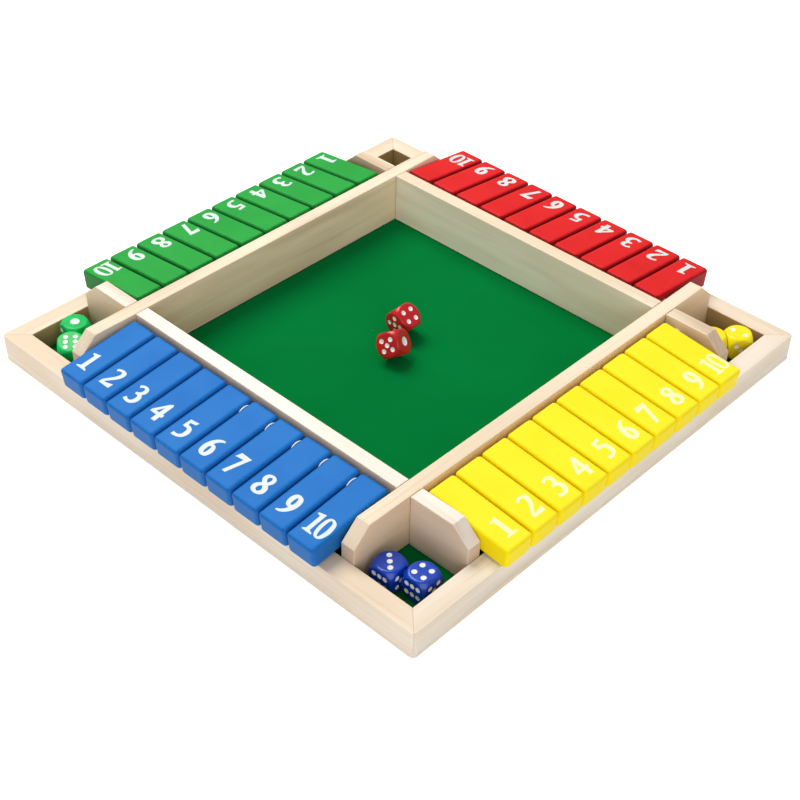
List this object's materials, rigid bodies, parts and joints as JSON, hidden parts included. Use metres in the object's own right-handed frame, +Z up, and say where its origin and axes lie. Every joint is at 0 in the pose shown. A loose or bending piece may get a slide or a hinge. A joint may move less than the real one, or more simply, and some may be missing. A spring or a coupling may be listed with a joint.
{
  "type": "shut the box game",
  "caption": "Square wooden shut the box board with a sunken dice pit, a bank of hinged number tiles on a rod along each side, corner dice trays and loose dice.",
  "frame": {"origin": "centre of the underside", "axes": "+Z up from the table; the blue bank faces -Y, yellow +X, red +Y and green -X"},
  "size_m": [0.308, 0.308, 0.0335],
  "materials": {
    "wood": "pale, clear satin lacquer",
    "pale_wood": "pale, clear satin lacquer",
    "green_lining": "matt",
    "blue_paint": "satin paint",
    "yellow_paint": "satin paint",
    "red_paint": "satin paint",
    "green_paint": "satin paint",
    "blue_dice_resin": "gloss",
    "yellow_dice_resin": "gloss",
    "red_dice_resin": "gloss",
    "green_dice_resin": "gloss"
  },
  "bodies": {
    "board": {"base_board": "wood", "green_floor_sheet": "green_lining", "outer_frame": "wood", "pit_frame": "pale_wood", "blue_hinge_rod": "pale_wood", "yellow_hinge_rod": "pale_wood", "red_hinge_rod": "pale_wood", "green_hinge_rod": "pale_wood", "yellow_end_plate_by_1": "wood", "yellow_end_plate_by_10": "wood", "green_end_plate_by_1": "wood", "green_end_plate_by_10": "wood"},
    "blue_tile_1": {"blue_tile_1": "blue_paint"},
    "blue_tile_2": {"blue_tile_2": "blue_paint"},
    "blue_tile_3": {"blue_tile_3": "blue_paint"},
    "blue_tile_4": {"blue_tile_4": "blue_paint"},
    "blue_tile_5": {"blue_tile_5": "blue_paint"},
    "blue_tile_6": {"blue_tile_6": "blue_paint"},
    "blue_tile_7": {"blue_tile_7": "blue_paint"},
    "blue_tile_8": {"blue_tile_8": "blue_paint"},
    "blue_tile_9": {"blue_tile_9": "blue_paint"},
    "blue_tile_10": {"blue_tile_10": "blue_paint"},
    "yellow_tile_1": {"yellow_tile_1": "yellow_paint"},
    "yellow_tile_2": {"yellow_tile_2": "yellow_paint"},
    "yellow_tile_3": {"yellow_tile_3": "yellow_paint"},
    "yellow_tile_4": {"yellow_tile_4": "yellow_paint"},
    "yellow_tile_5": {"yellow_tile_5": "yellow_paint"},
    "yellow_tile_6": {"yellow_tile_6": "yellow_paint"},
    "yellow_tile_7": {"yellow_tile_7": "yellow_paint"},
    "yellow_tile_8": {"yellow_tile_8": "yellow_paint"},
    "yellow_tile_9": {"yellow_tile_9": "yellow_paint"},
    "yellow_tile_10": {"yellow_tile_10": "yellow_paint"},
    "red_tile_1": {"red_tile_1": "red_paint"},
    "red_tile_2": {"red_tile_2": "red_paint"},
    "red_tile_3": {"red_tile_3": "red_paint"},
    "red_tile_4": {"red_tile_4": "red_paint"},
    "red_tile_5": {"red_tile_5": "red_paint"},
    "red_tile_6": {"red_tile_6": "red_paint"},
    "red_tile_7": {"red_tile_7": "red_paint"},
    "red_tile_8": {"red_tile_8": "red_paint"},
    "red_tile_9": {"red_tile_9": "red_paint"},
    "red_tile_10": {"red_tile_10": "red_paint"},
    "green_tile_1": {"green_tile_1": "green_paint"},
    "green_tile_2": {"green_tile_2": "green_paint"},
    "green_tile_3": {"green_tile_3": "green_paint"},
    "green_tile_4": {"green_tile_4": "green_paint"},
    "green_tile_5": {"green_tile_5": "green_paint"},
    "green_tile_6": {"green_tile_6": "green_paint"},
    "green_tile_7": {"green_tile_7": "green_paint"},
    "green_tile_8": {"green_tile_8": "green_paint"},
    "green_tile_9": {"green_tile_9": "green_paint"},
    "green_tile_10": {"green_tile_10": "green_paint"},
    "blue_die_1": {"blue_die_1": "blue_dice_resin"},
    "blue_die_2": {"blue_die_2": "blue_dice_resin"},
    "yellow_die_1": {"yellow_die_1": "yellow_dice_resin"},
    "yellow_die_2": {"yellow_die_2": "yellow_dice_resin"},
    "red_die_1": {"red_die_1": "red_dice_resin"},
    "red_die_2": {"red_die_2": "red_dice_resin"},
    "green_die_1": {"green_die_1": "green_dice_resin"},
    "green_die_2": {"green_die_2": "green_dice_resin"}
  },
  "joints": [
    {"name": "blue_tile_1_hinge", "type": "hinge", "parent": "board", "child": "blue_tile_1", "pos_m": [-0.08302, -0.1112, 0.0262], "axis": [-1, 0, 0], "range_deg": [0, 113]},
    {"name": "blue_tile_2_hinge", "type": "hinge", "parent": "board", "child": "blue_tile_2", "pos_m": [-0.06452, -0.1112, 0.0262], "axis": [-1, 0, 0], "range_deg": [0, 113]},
    {"name": "blue_tile_3_hinge", "type": "hinge", "parent": "board", "child": "blue_tile_3", "pos_m": [-0.04602, -0.1112, 0.0262], "axis": [-1, 0, 0], "range_deg": [0, 113]},
    {"name": "blue_tile_4_hinge", "type": "hinge", "parent": "board", "child": "blue_tile_4", "pos_m": [-0.02752, -0.1112, 0.0262], "axis": [-1, 0, 0], "range_deg": [0, 113]},
    {"name": "blue_tile_5_hinge", "type": "hinge", "parent": "board", "child": "blue_tile_5", "pos_m": [-0.00902, -0.1112, 0.0262], "axis": [-1, 0, 0], "range_deg": [0, 113]},
    {"name": "blue_tile_6_hinge", "type": "hinge", "parent": "board", "child": "blue_tile_6", "pos_m": [0.00948, -0.1112, 0.0262], "axis": [-1, 0, 0], "range_deg": [0, 113]},
    {"name": "blue_tile_7_hinge", "type": "hinge", "parent": "board", "child": "blue_tile_7", "pos_m": [0.02798, -0.1112, 0.0262], "axis": [-1, 0, 0], "range_deg": [0, 113]},
    {"name": "blue_tile_8_hinge", "type": "hinge", "parent": "board", "child": "blue_tile_8", "pos_m": [0.04648, -0.1112, 0.0262], "axis": [-1, 0, 0], "range_deg": [0, 113]},
    {"name": "blue_tile_9_hinge", "type": "hinge", "parent": "board", "child": "blue_tile_9", "pos_m": [0.06498, -0.1112, 0.0262], "axis": [-1, 0, 0], "range_deg": [0, 113]},
    {"name": "blue_tile_10_hinge", "type": "hinge", "parent": "board", "child": "blue_tile_10", "pos_m": [0.08348, -0.1112, 0.0262], "axis": [-1, 0, 0], "range_deg": [0, 113]},
    {"name": "yellow_tile_1_hinge", "type": "hinge", "parent": "board", "child": "yellow_tile_1", "pos_m": [0.1112, -0.08486, 0.0262], "axis": [0, -1, 0], "range_deg": [0, 113]},
    {"name": "yellow_tile_2_hinge", "type": "hinge", "parent": "board", "child": "yellow_tile_2", "pos_m": [0.1112, -0.06636, 0.0262], "axis": [0, -1, 0], "range_deg": [0, 113]},
    {"name": "yellow_tile_3_hinge", "type": "hinge", "parent": "board", "child": "yellow_tile_3", "pos_m": [0.1112, -0.04786, 0.0262], "axis": [0, -1, 0], "range_deg": [0, 113]},
    {"name": "yellow_tile_4_hinge", "type": "hinge", "parent": "board", "child": "yellow_tile_4", "pos_m": [0.1112, -0.02936, 0.0262], "axis": [0, -1, 0], "range_deg": [0, 113]},
    {"name": "yellow_tile_5_hinge", "type": "hinge", "parent": "board", "child": "yellow_tile_5", "pos_m": [0.1112, -0.01086, 0.0262], "axis": [0, -1, 0], "range_deg": [0, 113]},
    {"name": "yellow_tile_6_hinge", "type": "hinge", "parent": "board", "child": "yellow_tile_6", "pos_m": [0.1112, 0.00764, 0.0262], "axis": [0, -1, 0], "range_deg": [0, 113]},
    {"name": "yellow_tile_7_hinge", "type": "hinge", "parent": "board", "child": "yellow_tile_7", "pos_m": [0.1112, 0.02614, 0.0262], "axis": [0, -1, 0], "range_deg": [0, 113]},
    {"name": "yellow_tile_8_hinge", "type": "hinge", "parent": "board", "child": "yellow_tile_8", "pos_m": [0.1112, 0.04464, 0.0262], "axis": [0, -1, 0], "range_deg": [0, 113]},
    {"name": "yellow_tile_9_hinge", "type": "hinge", "parent": "board", "child": "yellow_tile_9", "pos_m": [0.1112, 0.06314, 0.0262], "axis": [0, -1, 0], "range_deg": [0, 113]},
    {"name": "yellow_tile_10_hinge", "type": "hinge", "parent": "board", "child": "yellow_tile_10", "pos_m": [0.1112, 0.08164, 0.0262], "axis": [0, -1, 0], "range_deg": [0, 113]},
    {"name": "red_tile_1_hinge", "type": "hinge", "parent": "board", "child": "red_tile_1", "pos_m": [0.08141, 0.1112, 0.0262], "axis": [1, 0, 0], "range_deg": [0, 113]},
    {"name": "red_tile_2_hinge", "type": "hinge", "parent": "board", "child": "red_tile_2", "pos_m": [0.06291, 0.1112, 0.0262], "axis": [1, 0, 0], "range_deg": [0, 113]},
    {"name": "red_tile_3_hinge", "type": "hinge", "parent": "board", "child": "red_tile_3", "pos_m": [0.04441, 0.1112, 0.0262], "axis": [1, 0, 0], "range_deg": [0, 113]},
    {"name": "red_tile_4_hinge", "type": "hinge", "parent": "board", "child": "red_tile_4", "pos_m": [0.02591, 0.1112, 0.0262], "axis": [1, 0, 0], "range_deg": [0, 113]},
    {"name": "red_tile_5_hinge", "type": "hinge", "parent": "board", "child": "red_tile_5", "pos_m": [0.00741, 0.1112, 0.0262], "axis": [1, 0, 0], "range_deg": [0, 113]},
    {"name": "red_tile_6_hinge", "type": "hinge", "parent": "board", "child": "red_tile_6", "pos_m": [-0.01109, 0.1112, 0.0262], "axis": [1, 0, 0], "range_deg": [0, 113]},
    {"name": "red_tile_7_hinge", "type": "hinge", "parent": "board", "child": "red_tile_7", "pos_m": [-0.02959, 0.1112, 0.0262], "axis": [1, 0, 0], "range_deg": [0, 113]},
    {"name": "red_tile_8_hinge", "type": "hinge", "parent": "board", "child": "red_tile_8", "pos_m": [-0.04809, 0.1112, 0.0262], "axis": [1, 0, 0], "range_deg": [0, 113]},
    {"name": "red_tile_9_hinge", "type": "hinge", "parent": "board", "child": "red_tile_9", "pos_m": [-0.06659, 0.1112, 0.0262], "axis": [1, 0, 0], "range_deg": [0, 113]},
    {"name": "red_tile_10_hinge", "type": "hinge", "parent": "board", "child": "red_tile_10", "pos_m": [-0.08509, 0.1112, 0.0262], "axis": [1, 0, 0], "range_deg": [0, 113]},
    {"name": "green_tile_1_hinge", "type": "hinge", "parent": "board", "child": "green_tile_1", "pos_m": [-0.1112, 0.08233, 0.0262], "axis": [0, 1, 0], "range_deg": [0, 113]},
    {"name": "green_tile_2_hinge", "type": "hinge", "parent": "board", "child": "green_tile_2", "pos_m": [-0.1112, 0.06383, 0.0262], "axis": [0, 1, 0], "range_deg": [0, 113]},
    {"name": "green_tile_3_hinge", "type": "hinge", "parent": "board", "child": "green_tile_3", "pos_m": [-0.1112, 0.04533, 0.0262], "axis": [0, 1, 0], "range_deg": [0, 113]},
    {"name": "green_tile_4_hinge", "type": "hinge", "parent": "board", "child": "green_tile_4", "pos_m": [-0.1112, 0.02683, 0.0262], "axis": [0, 1, 0], "range_deg": [0, 113]},
    {"name": "green_tile_5_hinge", "type": "hinge", "parent": "board", "child": "green_tile_5", "pos_m": [-0.1112, 0.00833, 0.0262], "axis": [0, 1, 0], "range_deg": [0, 113]},
    {"name": "green_tile_6_hinge", "type": "hinge", "parent": "board", "child": "green_tile_6", "pos_m": [-0.1112, -0.01017, 0.0262], "axis": [0, 1, 0], "range_deg": [0, 113]},
    {"name": "green_tile_7_hinge", "type": "hinge", "parent": "board", "child": "green_tile_7", "pos_m": [-0.1112, -0.02867, 0.0262], "axis": [0, 1, 0], "range_deg": [0, 113]},
    {"name": "green_tile_8_hinge", "type": "hinge", "parent": "board", "child": "green_tile_8", "pos_m": [-0.1112, -0.04717, 0.0262], "axis": [0, 1, 0], "range_deg": [0, 113]},
    {"name": "green_tile_9_hinge", "type": "hinge", "parent": "board", "child": "green_tile_9", "pos_m": [-0.1112, -0.06567, 0.0262], "axis": [0, 1, 0], "range_deg": [0, 113]},
    {"name": "green_tile_10_hinge", "type": "hinge", "parent": "board", "child": "green_tile_10", "pos_m": [-0.1112, -0.08417, 0.0262], "axis": [0, 1, 0], "range_deg": [0, 113]},
    {"name": "blue_die_1_lift", "type": "slide", "parent": "board", "child": "blue_die_1", "axis": [0, 0, 1], "range_m": [0, 0.04]},
    {"name": "blue_die_2_lift", "type": "slide", "parent": "board", "child": "blue_die_2", "axis": [0, 0, 1], "range_m": [0, 0.04]},
    {"name": "yellow_die_1_lift", "type": "slide", "parent": "board", "child": "yellow_die_1", "axis": [0, 0, 1], "range_m": [0, 0.04]},
    {"name": "yellow_die_2_lift", "type": "slide", "parent": "board", "child": "yellow_die_2", "axis": [0, 0, 1], "range_m": [0, 0.04]},
    {"name": "red_die_1_lift", "type": "slide", "parent": "board", "child": "red_die_1", "axis": [0, 0, 1], "range_m": [0, 0.04]},
    {"name": "red_die_2_lift", "type": "slide", "parent": "board", "child": "red_die_2", "axis": [0, 0, 1], "range_m": [0, 0.04]},
    {"name": "green_die_1_lift", "type": "slide", "parent": "board", "child": "green_die_1", "axis": [0, 0, 1], "range_m": [0, 0.04]},
    {"name": "green_die_2_lift", "type": "slide", "parent": "board", "child": "green_die_2", "axis": [0, 0, 1], "range_m": [0, 0.04]}
  ]
}
